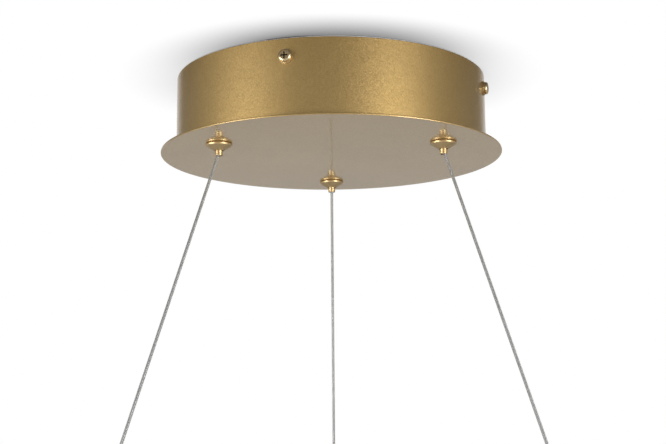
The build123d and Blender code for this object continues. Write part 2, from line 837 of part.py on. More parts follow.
joiner_level = (ring_top - ring_top_wall + web_top) / 2
with BuildPart() as ring_profile:
    with BuildSketch(Plane.XZ):
        with Locations((ring_inner_radius, ring_bottom)):
            Rectangle(ring_width, ring_height, align=(Align.MIN, Align.MIN))
        with Locations((ring_mid_radius, web_top)):
            Rectangle(
                channel_width,
                web_drop - ring_top_wall,
                align=(Align.CENTER, Align.MIN),
                mode=Mode.SUBTRACT,
            )
        with Locations((ring_mid_radius, ring_bottom)):
            Rectangle(
                channel_width,
                web_bottom - ring_bottom,
                align=(Align.CENTER, Align.MIN),
                mode=Mode.SUBTRACT,
            )
    revolve(axis=Axis.Z)
    with BuildSketch(upright_plane(ring_mid_radius, seam_azimuth, ring_bottom)):
        Rectangle(2 * ring_width, seam_gap)
    extrude(amount=ring_height, mode=Mode.SUBTRACT)
    for azimuth in gland_azimuths:
        with BuildSketch(upright_plane(ring_mid_radius, azimuth, ring_top)):
            Circle(anchor_stud_radius + thread_play + bush_wall + thread_play)
        extrude(amount=-ring_top_wall, mode=Mode.SUBTRACT)
        with BuildSketch(upright_plane(ring_mid_radius, azimuth, web_top)):
            with Locations((0, feed_hole_offset)):
                Circle(feed_lead_radius + feed_hole_play)
        extrude(amount=-web_thickness, mode=Mode.SUBTRACT)
    for angle in joiner_screw_angles:
        with BuildSketch(wall_plane(ring_inner_radius - ring_wall, seam_azimuth + angle, joiner_level)):
            Circle(joiner_screw_radius + hole_play)
        extrude(amount=3 * ring_wall, mode=Mode.SUBTRACT)
save(ring_profile, "ring_profile")

with BuildPart() as ring_joiner:
    with BuildSketch(section_plane(seam_azimuth - joiner_angle / 2)):
        with Locations((ring_mid_radius, joiner_level)):
            Rectangle(channel_width - 2 * hole_play, web_drop - ring_top_wall - 2 * hole_play)
    revolve(axis=Axis.Z, revolution_arc=joiner_angle)
    for angle in joiner_screw_angles:
        with BuildSketch(wall_plane(ring_inner_radius, seam_azimuth + angle, joiner_level)):
            Circle(joiner_screw_radius + thread_play)
        extrude(amount=joiner_screw_length + 2 * ring_wall, mode=Mode.SUBTRACT)
save(ring_joiner, "ring_joiner")

with BuildPart() as joiner_screws:
    for angle in joiner_screw_angles:
        with BuildSketch(wall_plane(ring_inner_radius - seat_gap, seam_azimuth + angle, joiner_level)):
            Circle(joiner_head_radius)
        extrude(amount=-joiner_head_height)
        with BuildSketch(wall_plane(ring_inner_radius - seat_gap, seam_azimuth + angle, joiner_level)):
            Circle(joiner_screw_radius)
        extrude(amount=joiner_screw_length)
save(joiner_screws, "joiner_screws")

strip_gap_angle = math.degrees(strip_end_gap / ring_mid_radius)
with BuildPart() as led_strip:
    with BuildSketch(section_plane(seam_azimuth + strip_gap_angle / 2)):
        with Locations((ring_mid_radius, web_bottom)):
            Rectangle(strip_width, strip_thickness, align=(Align.CENTER, Align.MAX))
    revolve(axis=Axis.Z, revolution_arc=360 - strip_gap_angle)
save(led_strip, "led_strip")

chip_step = 360 / chip_count
with BuildPart() as led_chips:
    with BuildSketch(Plane.XY.offset(web_bottom - strip_thickness)):
        with PolarLocations(ring_mid_radius, chip_count, start_angle=seam_azimuth + chip_step / 2):
            Rectangle(chip_width, chip_length)
    extrude(amount=-chip_height)
save(led_chips, "led_chips")

with BuildPart() as diffuser:
    with BuildSketch(Plane.XZ):
        with Locations((ring_mid_radius, ring_bottom)):
            Rectangle(
                channel_width - 2 * hole_play,
                diffuser_thickness + diffuser_leg,
                align=(Align.CENTER, Align.MIN),
            )
        with Locations((ring_mid_radius, ring_bottom + diffuser_thickness)):
            Rectangle(
                channel_width - 2 * hole_play - 2 * diffuser_leg_wall,
                diffuser_leg,
                align=(Align.CENTER, Align.MIN),
                mode=Mode.SUBTRACT,
            )
    revolve(axis=Axis.Z)
save(diffuser, "diffuser")

# ---------------------------------------------------------------- cable anchors on the ring

# One anchor is drawn about its own axis, with height 0 on the ring's top face.
bush_radius = anchor_stud_radius + thread_play + bush_wall
cap_base = bush_flange + base_flange
with BuildPart() as anchor_cap:
    with BuildSketch(Plane.XY.offset(cap_base)):
        Circle(anchor_radius)
    extrude(amount=anchor_height)
    fillet(anchor_cap.edges().sort_by(Axis.Z)[-1], anchor_edge_round)
    with BuildSketch(Plane.XY.offset(cap_base)):
        Circle(anchor_chamber_radius)
    extrude(amount=chamber_top - cap_base, mode=Mode.SUBTRACT)
    lean = (-math.sin(cable_lean), 0, math.cos(cable_lean))
    with BuildSketch(Plane(origin=(0, 0, ferrule_height), x_dir=(0, 1, 0), z_dir=lean)):
        Circle(anchor_hole_radius)
    extrude(amount=2 * anchor_height, mode=Mode.SUBTRACT)

with BuildPart() as anchor_base:
    with BuildSketch(Plane.XY.offset(bush_flange)):
        Circle(anchor_radius)
    extrude(amount=base_flange)
    with BuildSketch(Plane.XY.offset(cap_base)):
        Circle(anchor_chamber_radius - thread_play)
    extrude(amount=base_boss_height)
    with BuildSketch(Plane.XY.offset(bush_flange)):
        Circle(anchor_stud_radius)
    extrude(amount=-anchor_stud_length)

with BuildPart() as anchor_bush:
    with BuildSketch():
        Circle(bush_flange_radius)
        Circle(anchor_stud_radius + thread_play, mode=Mode.SUBTRACT)
    extrude(amount=bush_flange)
    with BuildSketch():
        Circle(bush_radius)
        Circle(anchor_stud_radius + thread_play, mode=Mode.SUBTRACT)
    extrude(amount=-ring_top_wall)

tag_level = -ring_top_wall - insulator_thickness
with BuildPart() as anchor_insulator:
    with BuildSketch(Plane.XY.offset(-ring_top_wall)):
        Circle(bush_flange_radius)
        Circle(anchor_stud_radius + thread_play, mode=Mode.SUBTRACT)
    extrude(amount=-insulator_thickness)

# A feed lead has its ring tag on the anchor's stud and goes down through the web to the strip.
feed_route = [
    (0, tag_tongue_length - tag_crimp_length, tag_level - tag_thickness - feed_lead_radius / 2),
    (0, 12.5, tag_level - 1.4),
    (0, 17, tag_level - 3),
    (0, 20.8, tag_level - 6.2),
    (0, feed_hole_offset, -web_drop + 3.5),
    (0, feed_hole_offset, -web_drop - web_thickness),
]
feed_wire = sweep_lead("feed_lead", feed_route, feed_lead_radius)
with BuildPart() as feed_lead:
    add(feed_wire.part)
    with BuildSketch(Plane.XY.offset(tag_level)):
        Circle(tag_radius)
        Rectangle(tag_tongue_width, tag_tongue_length, align=(Align.CENTER, Align.MIN))
        Circle(anchor_stud_radius + thread_play, mode=Mode.SUBTRACT)
    extrude(amount=-tag_thickness)

with BuildPart() as anchor_nut:
    with BuildSketch(Plane.XY.offset(tag_level - tag_thickness)):
        RegularPolygon(anchor_nut_across_flats / 2, 6, major_radius=False)
        Circle(anchor_stud_radius + thread_play, mode=Mode.SUBTRACT)
    extrude(amount=-anchor_nut_height)

anchor_pieces = {
    "anchor_caps": anchor_cap,
    "anchor_bases": anchor_base,
    "anchor_bushes": anchor_bush,
    "anchor_insulators": anchor_insulator,
    "feed_leads": feed_lead,
    "anchor_nuts": anchor_nut,
}
for name, piece in anchor_pieces.items():
    with BuildPart() as placed_pieces:
        for azimuth in gland_azimuths:
            with Locations(Location(upright_plane(ring_mid_radius, azimuth, ring_top))):
                add(piece.part)
    save(placed_pieces, name)
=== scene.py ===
"""LED ring chandelier: the looks around its fixed CAD frame.

Metres, +Z up. The ceiling is at height 0 and the lamp hangs below it. The file follows the lamp
as it is put together, from the ceiling down to the light ring.
"""

import math

import bpy
from mathutils import Matrix, Vector


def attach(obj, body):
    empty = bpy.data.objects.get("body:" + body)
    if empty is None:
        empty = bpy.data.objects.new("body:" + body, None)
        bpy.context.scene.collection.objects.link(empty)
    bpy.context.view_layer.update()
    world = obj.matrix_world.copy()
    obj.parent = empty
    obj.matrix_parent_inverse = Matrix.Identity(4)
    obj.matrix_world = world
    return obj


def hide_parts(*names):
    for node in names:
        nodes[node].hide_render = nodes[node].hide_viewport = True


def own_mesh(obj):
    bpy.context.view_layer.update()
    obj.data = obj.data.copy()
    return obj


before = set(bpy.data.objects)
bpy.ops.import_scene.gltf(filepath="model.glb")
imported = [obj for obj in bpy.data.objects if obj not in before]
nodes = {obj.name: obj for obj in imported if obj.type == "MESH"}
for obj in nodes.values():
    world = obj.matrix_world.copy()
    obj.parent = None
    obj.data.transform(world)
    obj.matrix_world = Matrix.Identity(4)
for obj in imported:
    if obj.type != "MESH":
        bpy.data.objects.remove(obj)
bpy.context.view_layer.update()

# ---------------------------------------------------------------- camera
# The photograph is taken from a little below the canopy, tilted up, with a short telephoto lens.
# Its place, tilt and lens are fitted to points on the drum, the plate, the cones and the cables.

camera_place = (0.0007, -0.770, -0.2223)
camera_pitch = math.radians(90) + 0.1675
camera_roll = -0.0081
camera_lens = 65.5
camera_sensor = 36.0

camera_data = bpy.data.cameras.new("camera")
camera_data.lens = camera_lens
camera_data.sensor_width = camera_sensor
camera_data.sensor_fit = "HORIZONTAL"
camera_data.clip_start = 0.01
camera_data.clip_end = 200.0
camera = bpy.data.objects.new("camera", camera_data)
bpy.context.scene.collection.objects.link(camera)
camera.matrix_world = (
    Matrix.Translation(camera_place)
    @ Matrix.Rotation(camera_pitch, 4, "X")
    @ Matrix.Rotation(camera_roll, 4, "Z")
)
bpy.context.scene.camera = camera
bpy.context.scene.view_settings.view_transform = "Standard"

# ---------------------------------------------------------------- room and light
# A white ceiling that is only there from below, with a round opening over the canopy's inside,
# a pale floor, and soft lamps at the left and the right. The ceiling carries painted shade near the
# canopy and a painted reflection glow. None of it is part of the lamp.

ceiling_hole = 0.0985
ceiling_half = 2.2
ceiling_level = 0.0002
ceiling_grey = (0.25, 0.25, 0.25, 1)
shade_reach = 0.039
shade_samples = 24
shade_lean = (0, 0.97, -0.25)
shade_least = 0.35
shade_in_front = 1.9
shade_narrowing = 3.0
glow_from = 0.75
glow_over = 0.22
glow_level = 0.9
floor_level = -1.25
floor_hole = 0.0005
floor_half = 30.0
floor_white = (0.8, 0.8, 0.8)
floor_gain = 2.4
stage_corners = 96
canopy_middle = (0, 0, -0.06)
world_level = 0.60


def new_material(name):
    """A material with an empty node tree and its output node."""
    material = bpy.data.materials.new(name)
    material.use_nodes = True
    tree = material.node_tree
    tree.nodes.clear()
    return material, tree, tree.nodes.new("ShaderNodeOutputMaterial")


def add_math(tree, operation, first, second):
    """A Math node on two links or numbers. Returns its output."""
    node = tree.nodes.new("ShaderNodeMath")
    node.operation = operation
    for socket, value in zip(node.inputs, (first, second)):
        if isinstance(value, (int, float)):
            socket.default_value = value
        else:
            tree.links.new(value, socket)
    return node.outputs[0]


def add_vector_math(tree, operation, *inputs):
    """A Vector Math node on links or vectors. Returns the node."""
    node = tree.nodes.new("ShaderNodeVectorMath")
    node.operation = operation
    for socket, value in zip(node.inputs, inputs):
        if isinstance(value, tuple):
            socket.default_value = value
        else:
            tree.links.new(value, socket)
    return node


def add_axes(tree, vector):
    """A vector's three parts. Returns the outputs."""
    axes = tree.nodes.new("ShaderNodeSeparateXYZ")
    tree.links.new(vector, axes.inputs[0])
    return axes.outputs


def clear_from_behind(tree, surface, output):
    """Show a surface on its front only."""
    side = tree.nodes.new("ShaderNodeNewGeometry")
    clear = tree.nodes.new("ShaderNodeBsdfTransparent")
    one_sided = tree.nodes.new("ShaderNodeMixShader")
    tree.links.new(side.outputs["Backfacing"], one_sided.inputs[0])
    tree.links.new(surface, one_sided.inputs[1])
    tree.links.new(clear.outputs[0], one_sided.inputs[2])
    tree.links.new(one_sided.outputs[0], output.inputs["Surface"])


def seen_shade(tree):
    """White with painted soft shade near what touches the ceiling, deepest on the camera's side."""
    near = tree.nodes.new("ShaderNodeAmbientOcclusion")
    near.inputs["Distance"].default_value = shade_reach
    near.samples = shade_samples
    near.inputs["Normal"].default_value = shade_lean
    here = tree.nodes.new("ShaderNodeTexCoord").outputs["Object"]
    from_middle = add_vector_math(tree, "LENGTH", here).outputs["Value"]
    forward = add_math(tree, "DIVIDE", add_axes(tree, here)["Y"], from_middle)
    forward = add_math(tree, "MAXIMUM", add_math(tree, "MULTIPLY", forward, -1), 0)
    forward = add_math(tree, "POWER", forward, shade_narrowing)
    depth = add_math(tree, "ADD", add_math(tree, "MULTIPLY", forward, shade_in_front), shade_least)
    # Painted shade: an emission that darkens with ambient occlusion and with the side, not a shadow
    # from the lamps.
    shade = tree.nodes.new("ShaderNodeEmission")
    tree.links.new(add_math(tree, "POWER", near.outputs["AO"], depth), shade.inputs["Strength"])
    return shade.outputs[0]


def grey_with_painted_glow(tree, paths):
    """Grey to light. It glows for mirrored rays that run on away from the camera, a painted
    reflection that makes the drum's side edges mirror a white room."""
    paint = tree.nodes.new("ShaderNodeBsdfDiffuse")
    paint.inputs["Color"].default_value = ceiling_grey
    facing = tree.nodes.new("ShaderNodeNewGeometry")
    # Painted reflection: this glow is there only for mirrored rays, never for the camera or for
    # lighting.
    onward = add_math(tree, "MULTIPLY", add_axes(tree, facing.outputs["Incoming"])["Y"], -1)
    onward = add_math(tree, "DIVIDE", add_math(tree, "SUBTRACT", onward, glow_from), glow_over)
    onward = add_math(tree, "MINIMUM", add_math(tree, "MAXIMUM", onward, 0), 1)
    mirrored = add_math(tree, "MULTIPLY", paths.outputs["Is Glossy Ray"], glow_level)
    glow = tree.nodes.new("ShaderNodeEmission")
    tree.links.new(add_math(tree, "MULTIPLY", onward, mirrored), glow.inputs["Strength"])
    lit = tree.nodes.new("ShaderNodeAddShader")
    tree.links.new(paint.outputs[0], lit.inputs[0])
    tree.links.new(glow.outputs[0], lit.inputs[1])
    return lit.outputs[0]


def ceiling_finish():
    """White with painted soft shade to the camera, grey to light with a painted reflection glow, and
    clear from above.
    """
    material, tree, output = new_material("ceiling_paint")
    paths = tree.nodes.new("ShaderNodeLightPath")
    seen = tree.nodes.new("ShaderNodeMixShader")
    tree.links.new(paths.outputs["Is Camera Ray"], seen.inputs[0])
    tree.links.new(grey_with_painted_glow(tree, paths), seen.inputs[1])
    tree.links.new(seen_shade(tree), seen.inputs[2])
    clear_from_behind(tree, seen.outputs[0], output)
    return material


def floor_finish():
    """A pale matt floor that the camera sees brighter, shadows kept, and clear from below."""
    material, tree, output = new_material("floor_paint")
    paths = tree.nodes.new("ShaderNodeLightPath")
    paint = tree.nodes.new("ShaderNodeBsdfDiffuse")
    gain = add_vector_math(tree, "SCALE", floor_white)
    more = add_math(tree, "MULTIPLY", paths.outputs["Is Camera Ray"], floor_gain - 1)
    tree.links.new(add_math(tree, "ADD", more, 1.0), gain.inputs["Scale"])
    tree.links.new(gain.outputs[0], paint.inputs["Color"])
    clear_from_behind(tree, paint.outputs[0], output)
    return material


def flat_ring(name, inner_radius, outer_radius, level, facing_down):
    """A level ring of faces, with its normals up or down."""
    corners = []
    for radius in (inner_radius, outer_radius):
        for step in range(stage_corners):
            angle = 2 * math.pi * step / stage_corners
            corners.append((radius * math.cos(angle), radius * math.sin(angle), level))
    faces = []
    for step in range(stage_corners):
        after = (step + 1) % stage_corners
        face = (step, step + stage_corners, after + stage_corners, after)
        faces.append(face[::-1] if facing_down else face)
    mesh = bpy.data.meshes.new(name)
    mesh.from_pydata(corners, [], faces)
    piece = bpy.data.objects.new(name, mesh)
    bpy.context.scene.collection.objects.link(piece)
    return piece


ceiling = flat_ring("ceiling", ceiling_hole, ceiling_half, ceiling_level, True)
ceiling.data.materials.append(ceiling_finish())

floor = flat_ring("floor", floor_hole, floor_half, floor_level, False)
floor.data.materials.append(floor_finish())


def add_softbox(name, place, aim, width, height, watts):
    """A soft white rectangular lamp at a place, turned to a point."""
    lamp_data = bpy.data.lights.new(name, "AREA")
    lamp_data.shape = "RECTANGLE"
    lamp_data.size = width
    lamp_data.size_y = height
    lamp_data.energy = watts
    lamp = bpy.data.objects.new(name, lamp_data)
    bpy.context.scene.collection.objects.link(lamp)
    lamp.location = place
    lamp.rotation_euler = (Vector(aim) - Vector(place)).to_track_quat("-Z", "Y").to_euler()


add_softbox("softbox_left", (-1.39, -0.80, -0.33), canopy_middle, width=0.95, height=0.5, watts=18)
add_softbox("softbox_right", (1.11, -1.15, -0.33), canopy_middle, width=0.75, height=0.5, watts=20)
add_softbox("lamp_over_ceiling", (0.2, -0.3, 1.3), (0, 0, -0.02), width=0.9, height=0.9, watts=5)

world = bpy.data.worlds.new("studio")
bpy.context.scene.world = world
world.use_nodes = True
sky = world.node_tree
sky.nodes.clear()
sky_output = sky.nodes.new("ShaderNodeOutputWorld")
sky_light = sky.nodes.new("ShaderNodeBackground")
sky_paths = sky.nodes.new("ShaderNodeLightPath").outputs
sky_light.inputs["Color"].default_value = (1, 1, 1, 1)
seen_white = add_math(sky, "MAXIMUM", sky_paths["Is Camera Ray"], sky_paths["Is Glossy Ray"])
seen_white = add_math(sky, "MAXIMUM", seen_white, sky_paths["Is Transmission Ray"])
sky.links.new(add_math(sky, "MAXIMUM", seen_white, world_level), sky_light.inputs["Strength"])
sky.links.new(sky_light.outputs[0], sky_output.inputs["Surface"])

# ---------------------------------------------------------------- canopy drum and bottom plate
# Spun and pressed sheet steel under a fine-flake gold lacquer with a clear semi-gloss coat.
# The thin plate closes the drum from below and stands 10 mm proud of it.

gold_light = (0.64, 0.445, 0.180)
gold_dark = (0.47, 0.305, 0.105)
lacquer_metallic = 0.92
lacquer_roughness = (0.37, 0.44)
lacquer_cloud_scale = 14.0
flake_scale = 2700.0
flake_tilt = 0.09
flake_contrast = (0.15, 0.85)
peel_scale = 420.0
peel_height = 0.00001
peel_strength = 0.5
coat_ior = 1.5
drum_coat = (0.75, 0.16)
plate_coat = (1.0, 0.09)


def add_noise(tree, coordinates, scale, detail=3.0, roughness=0.5):
    """A Noise Texture on the piece's own coordinates. Returns its value output."""
    noise = tree.nodes.new("ShaderNodeTexNoise")
    noise.inputs["Scale"].default_value = scale
    noise.inputs["Detail"].default_value = detail
    noise.inputs["Roughness"].default_value = roughness
    tree.links.new(coordinates, noise.inputs["Vector"])
    return noise.outputs[0]


def add_colours(tree, value, dark, light, low=0.3, high=0.7):
    """Two colours blended by a value between low and high. Returns the colour output."""
    ramp = tree.nodes.new("ShaderNodeValToRGB")
    ramp.color_ramp.elements[0].position = low
    ramp.color_ramp.elements[0].color = (*dark, 1)
    ramp.color_ramp.elements[1].position = high
    ramp.color_ramp.elements[1].color = (*light, 1)
    tree.links.new(value, ramp.inputs[0])
    return ramp.outputs[0]


def add_range(tree, value, span, low=0.3, high=0.7):
    """A value between low and high, spread over a span. Returns the output."""
    ranger = tree.nodes.new("ShaderNodeMapRange")
    ranger.inputs["From Min"].default_value = low
    ranger.inputs["From Max"].default_value = high
    ranger.inputs["To Min"].default_value = span[0]
    ranger.inputs["To Max"].default_value = span[1]
    tree.links.new(value, ranger.inputs["Value"])
    return ranger.outputs[0]


def add_bump(tree, height, distance, strength=1.0):
    """A bump from a height value, in metres. Returns the normal output."""
    bump = tree.nodes.new("ShaderNodeBump")
    bump.inputs["Strength"].default_value = strength
    bump.inputs["Distance"].default_value = distance
    tree.links.new(height, bump.inputs["Height"])
    return bump.outputs[0]


def shader_finish(name, metallic, **uniform):
    """A material with one Principled shader and the piece's own coordinates."""
    material, tree, output = new_material(name)
    shader = tree.nodes.new("ShaderNodeBsdfPrincipled")
    shader.inputs["Metallic"].default_value = metallic
    for socket, value in uniform.items():
        shader.inputs[socket.replace("_", " ")].default_value = value
    tree.links.new(shader.outputs[0], output.inputs["Surface"])
    place = tree.nodes.new("ShaderNodeTexCoord")
    return material, tree, shader, place.outputs["Object"]


def dress(material, *names):
    """These CAD nodes get this material in all their slots."""
    for name in names:
        mesh = nodes[name].data
        if not mesh.materials:
            mesh.materials.append(material)
        for index in range(len(mesh.materials)):
            mesh.materials[index] = material


def flaked_lacquer(name, dark, light, roughness, coat):
    """Gold lacquer: tiny flakes that differ in colour and tilt, soft clouds and a clear coat."""
    material, tree, shader, here = shader_finish(
        name, lacquer_metallic, Coat_Weight=coat[0], Coat_Roughness=coat[1], Coat_IOR=coat_ior
    )
    flakes = tree.nodes.new("ShaderNodeTexVoronoi")
    flakes.inputs["Scale"].default_value = flake_scale
    tree.links.new(here, flakes.inputs["Vector"])
    split = tree.nodes.new("ShaderNodeSeparateColor")
    tree.links.new(flakes.outputs["Color"], split.inputs[0])
    clouds = add_noise(tree, here, lacquer_cloud_scale, detail=4.0)
    mixed = add_math(tree, "MULTIPLY", add_math(tree, "ADD", split.outputs[0], clouds), 0.5)
    colour = add_colours(tree, mixed, dark, light, *flake_contrast)
    tree.links.new(colour, shader.inputs["Base Color"])
    gloss = add_range(tree, split.outputs[1], roughness, low=0.0, high=1.0)
    tree.links.new(gloss, shader.inputs["Roughness"])
    centred = add_vector_math(tree, "SUBTRACT", flakes.outputs["Color"], (0.5, 0.5, 0.5))
    tilt = add_vector_math(tree, "SCALE", centred.outputs[0])
    tilt.inputs["Scale"].default_value = flake_tilt
    ripple = add_noise(tree, here, peel_scale, detail=2.0)
    peel = add_bump(tree, ripple, peel_height, peel_strength)
    leaned = add_vector_math(tree, "ADD", peel, tilt.outputs[0])
    unit = add_vector_math(tree, "NORMALIZE", leaned.outputs[0])
    tree.links.new(unit.outputs[0], shader.inputs["Normal"])
    tree.links.new(peel, shader.inputs["Coat Normal"])
    return material


gold_lacquer = flaked_lacquer("gold_lacquer", gold_dark, gold_light, lacquer_roughness, drum_coat)
dress(gold_lacquer, "canopy_drum")
plate_lacquer = flaked_lacquer("plate_lacquer", gold_dark, gold_light, lacquer_roughness, plate_coat)
dress(plate_lacquer, "bottom_plate")

# ---------------------------------------------------------------- side screws and washers
# Brass pan-head screws with a cross recess, four round the drum. Each goes through a turned brass
# washer and the drum's wall into a tab of the ceiling bracket, and so holds the canopy up.

recess_reach = 0.0012
recess_depth = 3.0


def paint_hollow_shade(material, reach, depth):
    """Painted shade: darken a piece's colour in its recesses narrower than the reach."""
    tree = material.node_tree
    shader = next(node for node in tree.nodes if node.type == "BSDF_PRINCIPLED")
    colour = shader.inputs["Base Color"].links[0].from_socket
    hollow = tree.nodes.new("ShaderNodeAmbientOcclusion")
    hollow.inputs["Distance"].default_value = reach
    hollow.only_local = True
    tree.links.new(colour, hollow.inputs["Color"])
    deeper = add_vector_math(tree, "SCALE", hollow.outputs["Color"])
    tree.links.new(add_math(tree, "POWER", hollow.outputs["AO"], depth), deeper.inputs["Scale"])
    tree.links.new(deeper.outputs[0], shader.inputs["Base Color"])


def worn_metal(name, dark, light, roughness, grain_scale, bump_height, stretch=(1, 1, 1), **uniform):
    """Bare or plated metal: blotches of colour, uneven gloss, and grain that may run one way."""
    material, tree, shader, here = shader_finish(name, 1.0, **uniform)
    mapping = tree.nodes.new("ShaderNodeMapping")
    mapping.inputs["Scale"].default_value = stretch
    tree.links.new(here, mapping.inputs["Vector"])
    grain = add_noise(tree, mapping.outputs[0], grain_scale, detail=4.0, roughness=0.6)
    blotches = add_noise(tree, here, grain_scale / 12, detail=3.0)
    mixed = add_math(tree, "MULTIPLY", add_math(tree, "ADD", grain, blotches), 0.5)
    colour = add_colours(tree, mixed, dark, light, low=0.35, high=0.65)
    tree.links.new(colour, shader.inputs["Base Color"])
    tree.links.new(add_range(tree, grain, roughness), shader.inputs["Roughness"])
    tree.links.new(add_bump(tree, grain, bump_height), shader.inputs["Normal"])
    return material


bright_brass = worn_metal(
    "bright_brass", dark=(0.60, 0.43, 0.22), light=(0.84, 0.68, 0.42), roughness=(0.24, 0.36),
    grain_scale=1800.0, bump_height=0.000008,
)
# The screws' cross recesses, the gripper caps and the terminal inserts get painted shade in their
# hollows.
paint_hollow_shade(bright_brass, recess_reach, recess_depth)
dress(bright_brass, "side_screws", "gripper_caps", "terminal_inserts")
washer_brass = worn_metal(
    "washer_brass", dark=(0.48, 0.37, 0.20), light=(0.64, 0.51, 0.31), roughness=(0.32, 0.42),
    grain_scale=1400.0, bump_height=0.000008,
)
dress(washer_brass, "side_washers")

# ---------------------------------------------------------------- cable grippers
# Turned brass, lacquered gold: a shallow cone under the plate, its threaded stem and nut inside,
# and a small release nozzle that a coiled spring pushes down over three clamping balls.

gland_azimuths = (90.0, 210.0, 330.0)
gland_radius = 0.080
spring_wire_radius = 0.00025
spring_wire_corners = 10
spring_coil_radius = 0.0024
spring_turns = 4
spring_steps_per_turn = 24
spring_foot = -0.04203
spring_rise = 0.00466


def select_nothing():
    """Leave object mode with nothing selected and nothing active."""
    if bpy.context.object and bpy.context.object.mode != "OBJECT":
        bpy.ops.object.mode_set(mode="OBJECT")
    bpy.ops.object.select_all(action="DESELECT")
    bpy.context.view_layer.objects.active = None


def named(name):
    """Name the piece that was just added, and return it."""
    piece = bpy.context.object
    piece.name = name
    piece.data.name = name
    return piece


def screw_up(piece, turns, rise, steps):
    """Sweep the active piece's outline along Z while it turns, and close its open ends."""
    sweep = piece.modifiers.new("sweep", "SCREW")
    sweep.axis = "Z"
    sweep.angle = 2 * math.pi * turns
    sweep.screw_offset = rise
    sweep.steps = steps
    sweep.render_steps = steps
    sweep.use_smooth_shade = True
    bpy.ops.object.modifier_apply(modifier="sweep")
    bpy.ops.object.mode_set(mode="EDIT")
    bpy.ops.mesh.select_all(action="DESELECT")
    bpy.ops.mesh.select_non_manifold()
    bpy.ops.mesh.fill_holes(sides=0)
    bpy.ops.mesh.select_all(action="SELECT")
    bpy.ops.mesh.normals_make_consistent(inside=False)
    bpy.ops.object.mode_set(mode="OBJECT")


def own_copy(piece, name, matrix):
    """A copy with its own mesh, moved in its mesh so that its object stays at the origin."""
    twin = piece.copy()
    twin.data = piece.data.copy()
    twin.name = name
    twin.data.name = name
    twin.data.transform(matrix @ piece.matrix_basis)
    twin.matrix_basis = Matrix.Identity(4)
    bpy.context.scene.collection.objects.link(twin)
    return twin


turned_gold = worn_metal(
    "turned_gold", dark=(0.46, 0.335, 0.165), light=(0.60, 0.45, 0.245), roughness=(0.40, 0.50),
    grain_scale=900.0, bump_height=0.000006, stretch=(1, 1, 9),
    Coat_Weight=0.25, Coat_Roughness=0.25,
)
polished_steel = worn_metal(
    "polished_steel", dark=(0.50, 0.50, 0.49), light=(0.72, 0.72, 0.70), roughness=(0.10, 0.24),
    grain_scale=1500.0, bump_height=0.000008,
)
zinc_plate = worn_metal(
    "zinc_plate", dark=(0.42, 0.44, 0.46), light=(0.66, 0.67, 0.66), roughness=(0.26, 0.46),
    grain_scale=260.0, bump_height=0.00002,
)
for number in (1, 2, 3):
    dress(turned_gold, f"gripper_body_{number}", f"plunger_{number}")
    dress(polished_steel, f"gripper_balls_{number}")
dress(zinc_plate, "gripper_nuts", "plate_nuts")

# One wire's round section, moved out to the coil's radius and turned into a coil.
select_nothing()
bpy.ops.mesh.primitive_circle_add(
    vertices=spring_wire_corners,
    radius=spring_wire_radius,
    location=(0, 0, 0),
    rotation=(math.pi / 2, 0, 0),
)
spring = named("spring_master")
bpy.ops.object.mode_set(mode="EDIT")
bpy.ops.mesh.select_all(action="SELECT")
bpy.ops.transform.translate(value=(spring_coil_radius, 0, 0))
bpy.ops.object.mode_set(mode="OBJECT")
bpy.ops.object.transform_apply(location=True, rotation=True, scale=True)
screw_up(spring, spring_turns, spring_rise, spring_steps_per_turn * spring_turns)
spring.data.materials.append(polished_steel)

for number, azimuth in enumerate(gland_azimuths, start=1):
    angle = math.radians(azimuth)
    on_axis = (gland_radius * math.cos(angle), gland_radius * math.sin(angle))
    place = Matrix.Translation((*on_axis, spring_foot))
    piece = own_copy(spring, f"release_spring_{number}", place)
    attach(piece, "canopy")
    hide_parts(f"plunger_spring_{number}")
    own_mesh(piece)
bpy.data.objects.remove(spring)

# ---------------------------------------------------------------- suspension cables
# Six steel wires twisted round a seventh under a clear jacket. Each leaves its nozzle outwards and
# ends in a pressed ferrule on the ring. Its free end stands in the canopy and is crimped to a lead.

exit_radius = 0.0808
exit_level = -0.0570
cable_lean = math.radians(18.619215)
cable_drop = 0.615
cable_inside = 0.002
ferrule_radius = 0.0024
cable_in_ferrule = 0.6 * ferrule_radius
outer_wires = 6
wire_radius = 0.00029
wire_circle = 0.00059
wire_corners = 8
lay_length = 0.0098
steps_per_lay = 12
jacket_radius = 0.00099
jacket_corners = 16
jacket_end_step = 0.00008
jacket_end_rise = 0.0001
jacket_smooth_angle = math.radians(40)
jacket_smear_scale = 700.0
jacket_gloss = (0.08, 0.2)
jacket_ripple_scale = 300.0
jacket_ripple_height = 0.00001
cable_length = cable_drop / math.cos(cable_lean)
cable_total = cable_inside + cable_length + cable_in_ferrule

# The seven wires' round sections, drawn flat at the cable's upper end and screwed down its length.
select_nothing()
bpy.ops.mesh.primitive_circle_add(vertices=wire_corners, radius=wire_radius, location=(0, 0, 0))
strands = named("strand_master")
bpy.ops.object.mode_set(mode="EDIT")
for wire in range(outer_wires):
    angle = 2 * math.pi * wire / outer_wires
    bpy.ops.mesh.primitive_circle_add(
        vertices=wire_corners,
        radius=wire_radius,
        location=(wire_circle * math.cos(angle), wire_circle * math.sin(angle), 0),
        rotation=(0, 0, angle),
    )
bpy.ops.object.mode_set(mode="OBJECT")
lays = cable_total / lay_length
screw_up(strands, lays, -cable_total, round(lays * steps_per_lay))

